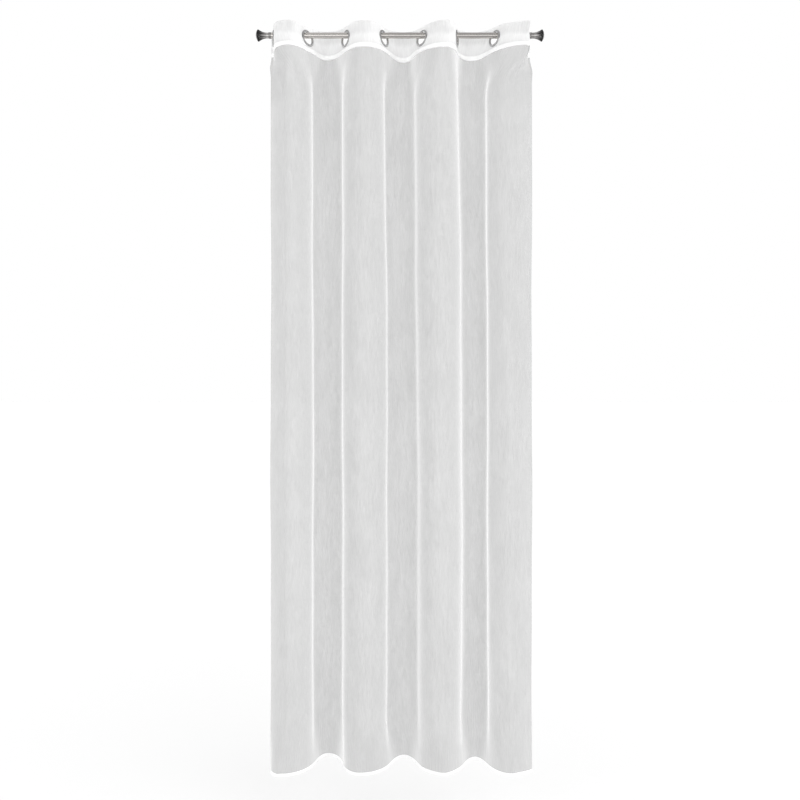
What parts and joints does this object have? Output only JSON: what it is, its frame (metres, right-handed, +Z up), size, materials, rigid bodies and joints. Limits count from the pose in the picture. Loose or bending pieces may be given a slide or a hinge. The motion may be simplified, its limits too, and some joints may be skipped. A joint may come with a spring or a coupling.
{
  "type": "sheer voile curtain on a curtain rod",
  "caption": "Sheer voile curtain with a stiffened eyelet heading, hanging in soft wave folds from a round metal rod with flared finials.",
  "frame": {"origin": "on the rod's axis, halfway along it", "axes": "+Z up, +X along the rod to the right as seen from the room, -Y towards the room (the front)"},
  "size_m": [0.973, 0.1657, 2.5102],
  "materials": {
    "voile": "sheer plain-weave voile with fine vertical slubs, soft matt",
    "heading": "doubled and stiffened voile, matt",
    "eyelet": "brushed nickel, satin",
    "rod": "brushed nickel, satin",
    "finial": "dark polished nickel"
  },
  "bodies": {
    "root": {"voile_panel": "voile", "heading_band": "heading", "eyelet_1": "eyelet", "eyelet_2": "eyelet", "eyelet_3": "eyelet", "eyelet_4": "eyelet", "eyelet_5": "eyelet", "eyelet_6": "eyelet", "eyelet_7": "eyelet", "eyelet_8": "eyelet", "rod": "rod", "finial_left": "finial", "finial_right": "finial"}
  },
  "joints": []
}
